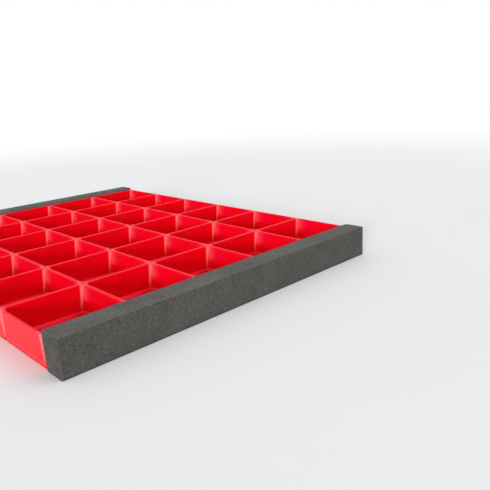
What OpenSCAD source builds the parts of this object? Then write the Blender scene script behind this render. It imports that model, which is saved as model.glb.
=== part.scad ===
// Drawer divider: a grid of separate open bins, wedged between two foam filler strips.
// Each bin is moulded on its own and stands loose, so it can be lifted straight out.
// Origin: middle of the footprint, on the plane that all the pieces stand on. -Y is the front.

/* [Grid] */
// Number of bins from side to side
columns = 6; // [1:1:6]
// Number of bins from front to back
rows = 5; // [1:1:5]
// Space that one bin takes each way
pitch = 75; // [50:1:120]
// Clearance between neighbours
gap = 0.4; // [0.2:0.1:1]

/* [Bin] */
// Outer height of a bin
bin_h = 30; // [20:1:80]
// Thickness of the bin's side walls
wall_t = 1.8; // [1:0.1:3]
// Thickness of the bin's floor
floor_t = 1.8; // [1:0.1:3]
// Radius of the upright corners, outside
corner_r = 3; // [1.5:0.5:8]
// Radius of the upright corners, inside
inner_corner_r = 4; // [1:0.5:8]
// Radius between the floor and the walls, inside
floor_r = 5; // [1:0.5:8]
// Radius between the underside and the walls, outside
heel_r = 1.5; // [0.5:0.5:2.5]

/* [Filler strips] */
// Width of one foam strip
strip_w = 24; // [10:1:60]
// Height by which the foam stands above the bins' rims
strip_rise = 3.5; // [0:0.5:10]

/* [Hidden] */
$fn = 64;
// How far a cut runs past the face that it opens
overrun = 1;
outer_w = pitch - gap;
inner_w = outer_w - 2 * wall_t;
grid_w = columns * pitch;
grid_d = rows * pitch;
strip_h = bin_h + strip_rise;
strip_d = grid_d - gap;

function bin_name(row, column) = str("bin_r", row, "c", column);

// Square with round corners, centred
module rounded_square(width, radius) {
    straight = width - 2 * radius;
    square([width, straight], center = true);
    square([straight, width], center = true);
    for (x = [-1, 1], y = [-1, 1])
        translate([x * straight / 2, y * straight / 2]) circle(r = radius);
}

// Side view of a block that stands on y = 0, with its two lower corners rounded
module rounded_foot(width, height, radius) {
    straight = width - 2 * radius;
    translate([-width / 2, radius]) square([width, height - radius]);
    translate([-straight / 2, 0]) square([straight, height]);
    for (x = [-1, 1]) translate([x * straight / 2, radius]) circle(r = radius);
}

// Upright block on z = 0 with round corners and a rounded lower edge all round
module soft_block(width, height, radius, foot_radius) {
    intersection() {
        linear_extrude(height) rounded_square(width, radius);
        rotate([90, 0, 0])
            linear_extrude(width, center = true) rounded_foot(width, height, foot_radius);
        rotate([90, 0, 90])
            linear_extrude(width, center = true) rounded_foot(width, height, foot_radius);
    }
}

module bin(row, column) {
    place_x = (column - (columns + 1) / 2) * pitch;
    place_y = (row - (rows + 1) / 2) * pitch;
    color([0.86, 0.02, 0.07])
    translate([place_x, place_y, 0])
    difference() {
        soft_block(outer_w, bin_h, corner_r, heel_r);
        translate([0, 0, floor_t])
            soft_block(inner_w, bin_h - floor_t + overrun, inner_corner_r, floor_r);
    }
}

// Foam strip, side is -1 on the left and 1 on the right
module foam_strip(side) {
    color([0.27, 0.26, 0.25])
    translate([side * (grid_w + strip_w) / 2, 0, strip_h / 2])
        cube([strip_w, strip_d, strip_h], center = true);
}

foam_strip(-1);  // foam_strip_left
foam_strip(1);  // foam_strip_right
for (row = [1:rows], column = [1:columns])
    bin(row, column);
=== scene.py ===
"""Drawer divider: a grid of loose red bins between two foam filler strips, on a pale floor."""

import math

import bmesh
import bpy
from mathutils import Euler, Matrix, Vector, noise


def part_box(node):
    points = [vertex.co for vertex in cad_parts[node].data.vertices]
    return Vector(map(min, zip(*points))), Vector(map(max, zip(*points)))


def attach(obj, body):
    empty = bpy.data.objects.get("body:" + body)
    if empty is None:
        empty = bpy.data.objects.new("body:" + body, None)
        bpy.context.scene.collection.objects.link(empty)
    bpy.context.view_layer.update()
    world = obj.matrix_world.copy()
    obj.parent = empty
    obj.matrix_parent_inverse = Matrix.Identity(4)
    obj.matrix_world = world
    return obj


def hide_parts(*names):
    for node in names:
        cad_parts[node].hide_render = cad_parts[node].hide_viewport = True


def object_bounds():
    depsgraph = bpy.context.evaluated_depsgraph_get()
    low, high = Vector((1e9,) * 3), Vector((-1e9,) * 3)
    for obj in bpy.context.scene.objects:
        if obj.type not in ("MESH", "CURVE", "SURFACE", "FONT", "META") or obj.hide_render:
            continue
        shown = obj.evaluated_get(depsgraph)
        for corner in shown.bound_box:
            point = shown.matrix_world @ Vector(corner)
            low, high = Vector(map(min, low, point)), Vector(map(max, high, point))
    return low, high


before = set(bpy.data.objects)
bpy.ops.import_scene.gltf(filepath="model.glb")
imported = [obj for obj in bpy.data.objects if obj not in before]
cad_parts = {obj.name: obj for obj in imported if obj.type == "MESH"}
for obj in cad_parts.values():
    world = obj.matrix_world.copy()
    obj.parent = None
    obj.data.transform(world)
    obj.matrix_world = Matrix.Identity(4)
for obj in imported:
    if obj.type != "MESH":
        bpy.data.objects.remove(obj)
cad_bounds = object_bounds()

MM = 0.001

# Camera, from the fit to the photograph: place, turn in degrees, and lens and sensor in millimetres
CAMERA_X = 591.5 * MM
CAMERA_Y = -332.15 * MM
CAMERA_OVER_RIM = 164.75 * MM
CAMERA_TURN = (73.79, 2.81, 45.21)
CAMERA_LENS = 40.41
SENSOR_WIDTH = 36.0

# Bin: the sizes that it shares with the part's source
WALL = 1.8 * MM
FLOOR = 1.8 * MM
CORNER_R = 3.0 * MM
FLOOR_R = 5.0 * MM
HEEL_R = 1.5 * MM
# Bin: the finer forms. Its inner corners are tighter at the rim than at the floor
INNER_CORNER_RIM_R = 2.8 * MM
INNER_CORNER_FOOT_R = 5.2 * MM
OUTER_RIM_R = 0.1 * MM
INNER_RIM_R = 0.5 * MM
DRAFT = math.radians(1.5)
# How far each rim spreads, so that neighbours all but touch
RIM_SPREAD = 0.17 * MM
# Flat ring beside a round edge, which keeps the shading of the flat face even
SUPPORT = 1.5 * MM
# Number of straight pieces in a quarter turn
CORNER_STEPS = 8
ARC_STEPS = 5
FLOOR_ARC_STEPS = 7

# Foam strip: round edge, size of one mesh face, and the dents' depth and width
FOAM_EDGE_R = 1.2 * MM
FOAM_STEP = 2.5 * MM
FOAM_DENT = 0.25 * MM
FOAM_WAVE = 8.0 * MM
# A face that points down more than this is the underside, which has no dents
UNDERSIDE = -0.5

# Painted highlight on the upright corners of a bin: where it starts and is full, out from its middle and
# up from its base
CORNER_START = 32.7 * MM
CORNER_FULL = 34.5 * MM
CORNER_HIGHLIGHT_LOW = 0.0 * MM
CORNER_HIGHLIGHT_HIGH = 11.0 * MM
# Sideways lean of the painted highlight's line, per unit of depth below the rim
CORNER_HIGHLIGHT_LEAN = 0.075
# Depth of the rim's edge, which gets a painted highlight and more roughness
RIM_DEPTH = 1.2 * MM
# Painted highlight at the ends of the rims that run across: where it starts, is full and stops, out from
# the bin's middle
RIM_END_START = 25.0 * MM
RIM_END_FULL = 34.0 * MM
RIM_END_STOP = 36.5 * MM
# Painted sheen on the cross walls: the narrow and the wide part, out from the bin's middle
SHEEN_START = 18.5 * MM
SHEEN_FULL = 35.5 * MM
SHEEN_POWER = 2.5
WIDE_SHEEN_START = 1.5 * MM
WIDE_SHEEN_FULL = 21.0 * MM
# Painted sheen on the cross walls: where it starts and is full, up from the bin's base
SHEEN_LOW = 13.0 * MM
SHEEN_HIGH = 19.0 * MM
# Inner faces of the cross walls: start, full, end and stop, out from the bin's middle at the rim
INNER_FACE = (34.9 * MM, 35.5 * MM, 36.0 * MM, 36.5 * MM)
# Painted highlight, a bright band on the round edge of the floor: start, full, end and stop, up from the
# bin's base
FOOT_HIGHLIGHT_BAND = (3.2 * MM, 4.8 * MM, 5.0 * MM, 6.4 * MM)

# Colours of the bins: two tones that vary at random, and painted sheen and highlights
DEEP_RED = (0.74, 0.0003, 0.004)
BRIGHT_RED = (0.82, 0.0008, 0.008)
WIDE_SHEEN_RED = (0.77, 0.001, 0.027)
SHEEN_RED = (0.79, 0.115, 0.110)
FOOT_HIGHLIGHT_RED = (1.0, 0.034, 0.066)
RIM_HIGHLIGHT_RED = (0.91, 0.003, 0.014)
CORNER_HIGHLIGHT_RED = (0.93, 0.185, 0.187)
RIM_END_HIGHLIGHT_RED = (0.94, 0.070, 0.075)
GLOSS_TINT = (1.0, 0.15, 0.4)
# Finish of the bins: roughness, and how much is added to it at the rim and at the corners with the
# painted highlight
PLASTIC_ROUGHNESS = (0.36, 0.44)
RIM_ROUGHER = 0.18
PLASTIC_IOR = 1.5
# Least share of the painted corner highlight, which noise varies at random
LEAST_CORNER_HIGHLIGHT_SHARE = 0.75

# Colours of the foam
DARK_GREY = (0.080, 0.075, 0.070)
LIGHT_GREY = (0.166, 0.158, 0.146)
# Share of the large patches in the foam's mottle, and the range of the mottle
PATCH_SHARE = 0.6
MOTTLE_SPAN = (0.5, 1.1)
# Pores: number in a metre, where their shade fades, out from a pore's middle, and the tones there
PORE_SCALE = 800.0
PORE_SPAN = (0.10, 0.40)
PORE_TONES = (0.50, 1.0)
FOAM_ROUGHNESS = 0.95
FOAM_GLOSS = 0.25
# Painted shade on the outer side and ends of a strip, which are darker: how far in it starts and is full,
# and its tone
SIDE_SHADE_START = 1.0 * MM
SIDE_SHADE_FULL = 0.5 * MM
SIDE_SHADE_TONE = 0.65

# Noise textures: scale and detail, and the range that holds most of their values
CLOUD_NOISE = (40.0, 3.0)
CORNER_HIGHLIGHT_NOISE = (260.0, 3.0)
GRAIN_NOISE = (900.0, 4.0)
RIPPLE_NOISE = (120.0, 2.0)
PATCH_NOISE = (45.0, 3.0)
SPECK_NOISE = (420.0, 2.0)
FLOOR_NOISE = (3.0, 3.0)
NOISE_SPAN = (0.3, 0.7)
UNIT_SPAN = (0.0, 1.0)

# Bumps: strength and height
RIPPLE_BUMP = (0.12, 0.15 * MM)
GRAIN_BUMP = (0.10, 0.03 * MM)
PORE_BUMP = (0.6, 0.4 * MM)

# Studio: light from all round, and a floor that fades to white far from the object
AMBIENT_COLOUR = (0.98, 0.99, 1.0)
AMBIENT = 0.69
WHITE = (1.0, 1.0, 1.0)
FLOOR_DARKER = (0.87, 0.87, 0.87)
FLOOR_PALER = (0.89, 0.89, 0.89)
FLOOR_ROUGHNESS = 0.8
FLOOR_REACH = 20.0
FLOOR_FADE_START = 0.7
FLOOR_FADE_END = 1.8


def arc(start, end, steps, first_axis):
    """Points of a quarter turn from start to end in the profile plane, start left out.
    first_axis is the axis, 0 or 1, that the arc moves along first."""
    points = []
    for step in range(1, steps + 1):
        angle = math.pi / 2 * step / steps
        quick, slow = math.sin(angle), 1 - math.cos(angle)
        shares = (quick, slow) if first_axis == 0 else (slow, quick)
        points.append(tuple(a + (b - a) * s for a, b, s in zip(start, end, shares)))
    return points


def bin_profile(height):
    """Inset from the outer face and height of each ring, from the underside over the rim to the floor."""
    inner = WALL + FLOOR_R
    profile = [(HEEL_R + SUPPORT, 0.0), (HEEL_R, 0.0)]
    profile += arc((HEEL_R, 0.0), (0.0, HEEL_R), ARC_STEPS, 0)
    profile.append((0.0, height - OUTER_RIM_R))
    profile += arc((0.0, height - OUTER_RIM_R), (OUTER_RIM_R, height), ARC_STEPS, 1)
    profile.append((WALL - INNER_RIM_R, height))
    profile += arc((WALL - INNER_RIM_R, height), (WALL, height - INNER_RIM_R), ARC_STEPS, 0)
    profile.append((WALL, FLOOR + FLOOR_R))
    profile += arc((WALL, FLOOR + FLOOR_R), (inner, FLOOR), FLOOR_ARC_STEPS, 1)
    profile.append((inner + SUPPORT, FLOOR))
    return profile


def corner_radius(inset, z, height):
    """Radius of the upright corner at an inset from the outer face and a height."""
    foot = FLOOR + FLOOR_R
    rise = min(max((z - foot) / (height - foot), 0.0), 1.0)
    inner = INNER_CORNER_FOOT_R + (INNER_CORNER_RIM_R - INNER_CORNER_FOOT_R) * rise
    return CORNER_R + (inner - CORNER_R) * min(inset / WALL, 1.0)


def rounded_square(half, radius, z):
    """Points of a square ring with round corners, counterclockwise."""
    points = []
    for quarter in range(4):
        turn = quarter * math.pi / 2
        centre = Vector((half - radius, half - radius, 0))
        centre.rotate(Euler((0, 0, turn)))
        for step in range(CORNER_STEPS + 1):
            angle = turn + math.pi / 2 * step / CORNER_STEPS
            out = Vector((math.cos(angle), math.sin(angle), 0)) * radius
            points.append(Vector((centre.x + out.x, centre.y + out.y, z)))
    return points


def smooth_mesh(name, shape, material):
    """A mesh with smooth shading from a bmesh, which is freed."""
    for face in shape.faces:
        face.smooth = True
    mesh = bpy.data.meshes.new(name)
    shape.to_mesh(mesh)
    shape.free()
    mesh.materials.append(material)
    return mesh


def bin_mesh(width, height, material):
    """One moulded bin, centred on the origin and standing on z = 0. It widens a little upwards."""
    shape = bmesh.new()
    rings = []
    for inset, z in bin_profile(height):
        lean = (height - z) * math.tan(DRAFT)
        half = width / 2 + RIM_SPREAD - inset - lean
        radius = corner_radius(inset, z, height)
        rings.append([shape.verts.new(p) for p in rounded_square(half, radius, z)])
    for low, high in zip(rings, rings[1:]):
        for k in range(len(low)):
            following = (k + 1) % len(low)
            shape.faces.new((low[k], low[following], high[following], high[k]))
    shape.faces.new(list(reversed(rings[0])))
    shape.faces.new(rings[-1])
    bmesh.ops.recalc_face_normals(shape, faces=shape.faces)
    return smooth_mesh("bin_shell", shape, material)


def end_mesh(mesh, name, width, side):
    """A copy of the bin for an end row: the side that has no neighbour, -1 or 1 in y, does not spread."""
    copy = mesh.copy()
    copy.name = name
    share = width / (width + 2 * RIM_SPREAD)
    for vert in copy.vertices:
        if vert.co.y * side > 0:
            vert.co.y *= share
    return copy


def add_piece(name, mesh, node, body):
    """An object that stands for a CAD node and moves with its body."""
    piece = bpy.data.objects.new(name, mesh)
    bpy.context.scene.collection.objects.link(piece)
    low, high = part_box(node)
    piece.location = ((low.x + high.x) / 2, (low.y + high.y) / 2, low.z)
    piece.modifiers.new("even_shading", "WEIGHTED_NORMAL")
    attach(piece, body)
    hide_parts(node)
    return piece


def make_bins():
    bins = sorted(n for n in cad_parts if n.startswith("bin_"))
    low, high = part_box(bins[0])
    width, height = high.x - low.x, high.z - low.z
    middle = bin_mesh(width, height, red_plastic(height))
    front = end_mesh(middle, "bin_shell_front", width, -1)
    back = end_mesh(middle, "bin_shell_back", width, 1)
    for node in bins:
        low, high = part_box(node)
        mesh = middle
        if low.y < cad_bounds[0].y + WALL:
            mesh = front
        if high.y > cad_bounds[1].y - WALL:
            mesh = back
        add_piece("moulded_" + node, mesh, node, node)


def block_shell(size):
    """The six faces of a block, cut into small quads that share their corners.
    It is centred on the origin in x and y and stands on z = 0."""
    shape = bmesh.new()
    counts = [round(s / FOAM_STEP) for s in size]
    corners = {}

    def corner(key):
        if key not in corners:
            place = [size[a] * key[a] / counts[a] for a in range(3)]
            corners[key] = shape.verts.new((place[0] - size[0] / 2, place[1] - size[1] / 2, place[2]))
        return corners[key]

    def quad(axes, side, m, n):
        ring = []
        for dm, dn in ((0, 0), (1, 0), (1, 1), (0, 1)):
            step = dict(zip(axes, (side, m + dm, n + dn)))
            ring.append(corner((step[0], step[1], step[2])))
        return ring if side else list(reversed(ring))

    for axes in ((0, 1, 2), (1, 2, 0), (2, 0, 1)):
        across, first, second = axes
        for side in (0, counts[across]):
            for m in range(counts[first]):
                for n in range(counts[second]):
                    shape.faces.new(quad(axes, side, m, n))
    return shape


def softened(place, half):
    """Where a point of a block's faces lies once the block has round edges and shallow dents."""
    core = Vector([max(FOAM_EDGE_R - h, min(h - FOAM_EDGE_R, p)) for p, h in zip(place, half)])
    out = (place - core).normalized()
    dent = 0.0
    if out.z > UNDERSIDE:
        dent = FOAM_DENT * (1 + noise.noise(place / FOAM_WAVE)) / 2
    return core + out * (FOAM_EDGE_R - dent)


def foam_mesh(name, size, material):
    """A cut foam block that stands on z = 0."""
    shape = block_shell(size)
    half = size / 2
    middle = Vector((0, 0, half.z))
    for vert in shape.verts:
        vert.co = softened(vert.co - middle, half) + middle
    return smooth_mesh(name, shape, material)


def make_foam():
    for side, outward in (("left", -1), ("right", 1)):
        node = "foam_strip_" + side
        low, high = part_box(node)
        material = grey_foam("grey_foam_" + side, high - low, outward)
        mesh = foam_mesh(node + "_cut", high - low, material)
        piece = add_piece("cut_" + node, mesh, node, "fillers")


def opaque(colour):
    """A plain colour with its alpha; a socket stays as it is."""
    return (*colour, 1.0) if isinstance(colour, tuple) else colour


class Graph:
    """A node tree, with a short way to add each kind of node that the looks are made of."""

    def __init__(self, tree):
        self.nodes = tree.nodes
        self.links = tree.links

    def plug(self, socket, value):
        """Links another node's output to the socket, or sets it to a plain value."""
        if isinstance(value, bpy.types.NodeSocket):
            self.links.new(value, socket)
        else:
            socket.default_value = value

    def place(self):
        """Where a point lies on its own piece."""
        return self.nodes.new("ShaderNodeTexCoord").outputs["Object"]

    def axes(self, place):
        split = self.nodes.new("ShaderNodeSeparateXYZ")
        self.plug(split.inputs["Vector"], place)
        return split.outputs["X"], split.outputs["Y"], split.outputs["Z"]

    def maths(self, operation, first, second=0.0):
        node = self.nodes.new("ShaderNodeMath")
        node.operation = operation
        self.plug(node.inputs[0], first)
        self.plug(node.inputs[1], second)
        return node.outputs[0]

    def map_range(self, value, source, target):
        """The value, moved from the source range to the target range and kept inside it."""
        span = self.nodes.new("ShaderNodeMapRange")
        names = ("From Min", "From Max", "To Min", "To Max")
        for name, limit in zip(names, (*source, *target)):
            span.inputs[name].default_value = limit
        self.plug(span.inputs["Value"], value)
        return span.outputs["Result"]

    def ramp_up(self, value, start, end):
        """0 below start, 1 above end and a soft step between them."""
        span = self.nodes.new("ShaderNodeMapRange")
        span.interpolation_type = "SMOOTHSTEP"
        span.inputs["From Min"].default_value = start
        span.inputs["From Max"].default_value = end
        self.plug(span.inputs["Value"], value)
        return span.outputs["Result"]

    def band(self, value, edges):
        """1 between the two middle edges and 0 outside the outer two."""
        start, full, end, stop = edges
        return self.maths("SUBTRACT", self.ramp_up(value, start, full), self.ramp_up(value, end, stop))

    def noise(self, place, scale, detail):
        texture = self.nodes.new("ShaderNodeTexNoise")
        texture.inputs["Scale"].default_value = scale
        texture.inputs["Detail"].default_value = detail
        self.plug(texture.inputs["Vector"], place)
        return texture.outputs["Fac"]

    def cells(self, place, scale):
        """Distance to the nearest of many scattered points."""
        texture = self.nodes.new("ShaderNodeTexVoronoi")
        texture.inputs["Scale"].default_value = scale
        self.plug(texture.inputs["Vector"], place)
        return texture.outputs["Distance"]

    def mix_colours(self, factor, first, second, blend="MIX"):
        """The first colour where the factor is 0 and the second, or their blend, where it is 1."""
        mix = self.nodes.new("ShaderNodeMix")
        mix.data_type = "RGBA"
        mix.blend_type = blend
        self.plug(mix.inputs["Factor"], factor)
        self.plug(mix.inputs["A"], opaque(first))
        self.plug(mix.inputs["B"], opaque(second))
        return mix.outputs["Result"]

    def mix_shaders(self, factor, first, second):
        mix = self.nodes.new("ShaderNodeMixShader")
        self.plug(mix.inputs["Fac"], factor)
        self.plug(mix.inputs[1], first)
        self.plug(mix.inputs[2], second)
        return mix.outputs["Shader"]

    def bump(self, height, strength, distance, below=None):
        bump = self.nodes.new("ShaderNodeBump")
        bump.inputs["Strength"].default_value = strength
        bump.inputs["Distance"].default_value = distance
        self.plug(bump.inputs["Height"], height)
        if below is not None:
            self.plug(bump.inputs["Normal"], below)
        return bump.outputs["Normal"]

    def seen(self):
        """1 for the rays that look straight at a surface, through glass or by reflection."""
        path = self.nodes.new("ShaderNodeLightPath").outputs
        direct = self.maths("MAXIMUM", path["Is Camera Ray"], path["Is Glossy Ray"])
        return self.maths("MAXIMUM", direct, path["Is Transmission Ray"])


def new_material(name):
    material = bpy.data.materials.new(name)
    material.use_nodes = True
    return material, Graph(material.node_tree), material.node_tree.nodes["Principled BSDF"]


def corner_mask(graph, across, along, up, depth):
    """Where the painted highlight lies: the bin's four upright corners, fading towards the base."""
    side_across = graph.maths("ADD", across, graph.maths("MULTIPLY", depth, math.tan(DRAFT) - CORNER_HIGHLIGHT_LEAN))
    side_along = graph.maths("ADD", along, graph.maths("MULTIPLY", depth, math.tan(DRAFT) + CORNER_HIGHLIGHT_LEAN))
    nearest = graph.maths("MINIMUM", side_across, side_along)
    corner = graph.ramp_up(nearest, CORNER_START, CORNER_FULL)
    return graph.maths("MULTIPLY", corner, graph.ramp_up(up, CORNER_HIGHLIGHT_LOW, CORNER_HIGHLIGHT_HIGH))


def rim_end_highlight_mask(graph, across, along):
    """Painted highlight at the ends of the two rims that run across."""
    ends = graph.band(across, (RIM_END_START, RIM_END_FULL, RIM_END_FULL, RIM_END_STOP))
    return graph.maths("MULTIPLY", ends, graph.ramp_up(along, CORNER_START, CORNER_FULL))


def sheen_masks(graph, across, along, up, depth):
    """Two masks of painted sheen for the cross walls: a narrow one beside the corners and a wide one."""
    at_rim = graph.maths("ADD", along, graph.maths("MULTIPLY", depth, math.tan(DRAFT)))
    high = graph.ramp_up(up, SHEEN_LOW, SHEEN_HIGH)
    wall = graph.maths("MULTIPLY", graph.band(at_rim, INNER_FACE), high)
    nearness = graph.map_range(across, (SHEEN_START, SHEEN_FULL), UNIT_SPAN)
    narrow = graph.maths("POWER", nearness, SHEEN_POWER)
    wide = graph.ramp_up(across, WIDE_SHEEN_START, WIDE_SHEEN_FULL)
    return graph.maths("MULTIPLY", narrow, wall), graph.maths("MULTIPLY", wide, wall)


def red_plastic(height):
    material, graph, shader = new_material("red_plastic")
    place = graph.place()
    x, y, up = graph.axes(place)
    across = graph.maths("ABSOLUTE", x)
    along = graph.maths("ABSOLUTE", y)
    depth = graph.maths("SUBTRACT", height, up)

    corner = corner_mask(graph, across, along, up, depth)
    rim = graph.ramp_up(up, height - RIM_DEPTH, height - RIM_DEPTH / 2)
    rim_end_highlight = graph.maths("MAXIMUM", rim_end_highlight_mask(graph, across, along), corner)
    # Painted highlight on the upright corners, patchy at random, and rougher there
    highlight_patches = graph.map_range(graph.noise(place, *CORNER_HIGHLIGHT_NOISE), NOISE_SPAN, (LEAST_CORNER_HIGHLIGHT_SHARE, 1.0))
    corner_highlight = graph.maths("MULTIPLY", corner, highlight_patches)
    sheen, wide_sheen = sheen_masks(graph, across, along, up, depth)

    clouds = graph.map_range(graph.noise(place, *CLOUD_NOISE), NOISE_SPAN, UNIT_SPAN)
    colour = graph.mix_colours(clouds, DEEP_RED, BRIGHT_RED)
    # Painted sheen on the cross walls: a wide bluish part, then a narrow pale part beside the corners
    colour = graph.mix_colours(wide_sheen, colour, WIDE_SHEEN_RED)
    colour = graph.mix_colours(sheen, colour, SHEEN_RED)
    # Painted highlight on the round edge of the floor
    colour = graph.mix_colours(graph.band(up, FOOT_HIGHLIGHT_BAND), colour, FOOT_HIGHLIGHT_RED)
    # Painted highlight on the rim's top edge
    colour = graph.mix_colours(rim, colour, RIM_HIGHLIGHT_RED)
    colour = graph.mix_colours(corner_highlight, colour, CORNER_HIGHLIGHT_RED)
    # Painted highlight on the rim's ends near the corners
    colour = graph.mix_colours(graph.maths("MULTIPLY", rim, rim_end_highlight), colour, RIM_END_HIGHLIGHT_RED)
    graph.plug(shader.inputs["Base Color"], colour)

    grain = graph.noise(place, *GRAIN_NOISE)
    rough = graph.map_range(grain, NOISE_SPAN, PLASTIC_ROUGHNESS)
    rougher = graph.maths("MULTIPLY", graph.maths("MAXIMUM", rim, corner_highlight), RIM_ROUGHER)
    graph.plug(shader.inputs["Roughness"], graph.maths("ADD", rough, rougher))
    ripple = graph.bump(graph.noise(place, *RIPPLE_NOISE), *RIPPLE_BUMP)
    graph.plug(shader.inputs["Normal"], graph.bump(grain, *GRAIN_BUMP, below=ripple))
    shader.inputs["Specular Tint"].default_value = opaque(GLOSS_TINT)
    shader.inputs["IOR"].default_value = PLASTIC_IOR
    return material


def side_shade_mask(graph, place, size, outward):
    """Where painted shade darkens the strip: its outer side and its ends, without the top. outward is the
    outer side's sign in x.
    """
    x, y, up = graph.axes(place)
    across = graph.maths("MULTIPLY", x, outward)
    along = graph.maths("ABSOLUTE", y)
    outer = graph.ramp_up(across, size.x / 2 - SIDE_SHADE_START, size.x / 2 - SIDE_SHADE_FULL)
    ends = graph.ramp_up(along, size.y / 2 - SIDE_SHADE_START, size.y / 2 - SIDE_SHADE_FULL)
    below_top = graph.maths("SUBTRACT", 1.0, graph.ramp_up(up, size.z - SIDE_SHADE_START, size.z - SIDE_SHADE_FULL))
    return graph.maths("MULTIPLY", graph.maths("MAXIMUM", outer, ends), below_top)


def grey_foam(name, size, outward):
    material, graph, shader = new_material(name)
    place = graph.place()
    patches = graph.maths("MULTIPLY", graph.noise(place, *PATCH_NOISE), PATCH_SHARE)
    mottle = graph.maths("ADD", patches, graph.noise(place, *SPECK_NOISE))
    tint = graph.map_range(mottle, MOTTLE_SPAN, UNIT_SPAN)
    colour = graph.mix_colours(tint, DARK_GREY, LIGHT_GREY)

    cells = graph.cells(place, PORE_SCALE)
    pores = graph.map_range(cells, PORE_SPAN, PORE_TONES)
    # Painted shade on the strip's outer side and ends, over the pores
    shade = graph.map_range(side_shade_mask(graph, place, size, outward), UNIT_SPAN, (1.0, SIDE_SHADE_TONE))
    shade = graph.maths("MULTIPLY", pores, shade)
    graph.plug(shader.inputs["Base Color"], graph.mix_colours(1.0, colour, shade, "MULTIPLY"))
    graph.plug(shader.inputs["Normal"], graph.bump(cells, *PORE_BUMP))
    shader.inputs["Roughness"].default_value = FOAM_ROUGHNESS
    shader.inputs["Specular IOR Level"].default_value = FOAM_GLOSS
    return material


def make_world():
    world = bpy.data.worlds.new("studio")
    bpy.context.scene.world = world
    world.use_nodes = True
    graph = Graph(world.node_tree)
    ambient = graph.nodes["Background"]
    ambient.inputs["Color"].default_value = opaque(AMBIENT_COLOUR)
    ambient.inputs["Strength"].default_value = AMBIENT
    white = graph.nodes.new("ShaderNodeBackground")
    white.inputs["Color"].default_value = opaque(WHITE)
    mixed = graph.mix_shaders(graph.seen(), ambient.outputs[0], white.outputs[0])
    graph.plug(graph.nodes["World Output"].inputs["Surface"], mixed)


def pale_floor():
    """Pale near the object, where it keeps the shadow, and plain white far from it."""
    material, graph, shader = new_material("pale_floor")
    place = graph.place()
    tone = graph.map_range(graph.noise(place, *FLOOR_NOISE), NOISE_SPAN, UNIT_SPAN)
    graph.plug(shader.inputs["Base Color"], graph.mix_colours(tone, FLOOR_DARKER, FLOOR_PALER))
    shader.inputs["Roughness"].default_value = FLOOR_ROUGHNESS
    white = graph.nodes.new("ShaderNodeEmission")
    away = graph.nodes.new("ShaderNodeVectorMath")
    away.operation = "LENGTH"
    graph.plug(away.inputs[0], place)
    far = graph.ramp_up(away.outputs["Value"], FLOOR_FADE_START, FLOOR_FADE_END)
    fade = graph.maths("MULTIPLY", far, graph.seen())
    mixed = graph.mix_shaders(fade, shader.outputs[0], white.outputs[0])
    graph.plug(graph.nodes["Material Output"].inputs["Surface"], mixed)
    return material


def make_floor():
    mesh = bpy.data.meshes.new("floor")
    reach = FLOOR_REACH
    corners = [(-reach, -reach, 0), (reach, -reach, 0), (reach, reach, 0), (-reach, reach, 0)]
    mesh.from_pydata(corners, [], [(0, 1, 2, 3)])
    mesh.materials.append(pale_floor())
    floor = bpy.data.objects.new("floor", mesh)
    floor.location.z = cad_bounds[0].z
    bpy.context.scene.collection.objects.link(floor)


def add_sun(name, azimuth, elevation, strength, spread):
    """A soft light from far away. The angles are in degrees; azimuth is counted from +X towards +Y."""
    lamp = bpy.data.lights.new(name, "SUN")
    lamp.energy = strength
    lamp.angle = math.radians(spread)
    light = bpy.data.objects.new(name, lamp)
    turn, tilt = math.radians(azimuth), math.radians(elevation)
    level = math.cos(tilt)
    towards = Vector((level * math.cos(turn), level * math.sin(turn), math.sin(tilt)))
    light.rotation_euler = towards.to_track_quat("Z", "Y").to_euler()
    bpy.context.scene.collection.objects.link(light)


def make_lights():
    add_sun("window", azimuth=-63, elevation=12, strength=2.0, spread=12)
    add_sun("fill", azimuth=50, elevation=50, strength=0.5, spread=40)


def make_camera():
    data = bpy.data.cameras.new("camera")
    data.lens = CAMERA_LENS
    data.sensor_width = SENSOR_WIDTH
    camera = bpy.data.objects.new("camera", data)
    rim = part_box("bin_r1c1")[1].z
    camera.location = (CAMERA_X, CAMERA_Y, rim + CAMERA_OVER_RIM)
    camera.rotation_euler = [math.radians(a) for a in CAMERA_TURN]
    bpy.context.scene.collection.objects.link(camera)
    bpy.context.scene.camera = camera


bpy.context.scene.view_settings.view_transform = "Standard"
make_camera()
make_world()
make_lights()
make_floor()
make_bins()
make_foam()
